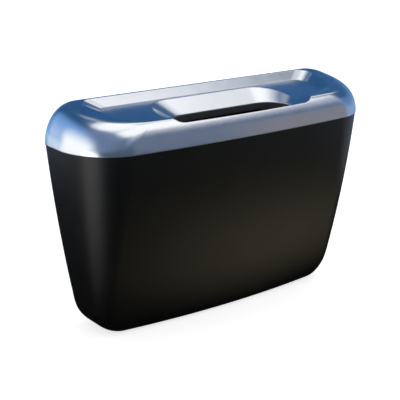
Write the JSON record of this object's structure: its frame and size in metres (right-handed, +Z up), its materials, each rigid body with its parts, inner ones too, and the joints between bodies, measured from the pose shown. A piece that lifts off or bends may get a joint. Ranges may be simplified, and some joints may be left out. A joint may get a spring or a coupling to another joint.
{
  "type": "car trash bin",
  "caption": "Tapered hanging waste bin for a car: black tub with a flat back and hook, lift-off silver cap with a sloping dish and an open mouth, and a black collar lining the mouth.",
  "frame": {"origin": "middle of the flat base", "axes": "+Z up, +X along the width, the crowned front faces -Y and the flat back with its hook faces +Y"},
  "size_m": [0.2408, 0.0806, 0.154],
  "materials": {
    "black_plastic": "satin, fine moulded grain",
    "silver_plastic": "satin metallised plastic",
    "collar_plastic": "plain black"
  },
  "bodies": {
    "tub": {"tub": "black_plastic"},
    "cap": {"cap": "silver_plastic", "collar": "collar_plastic"}
  },
  "joints": [
    {"name": "cap_lift", "type": "slide", "parent": "tub", "child": "cap", "axis": [0, 0, 1], "range_m": [0, 0.06]}
  ]
}
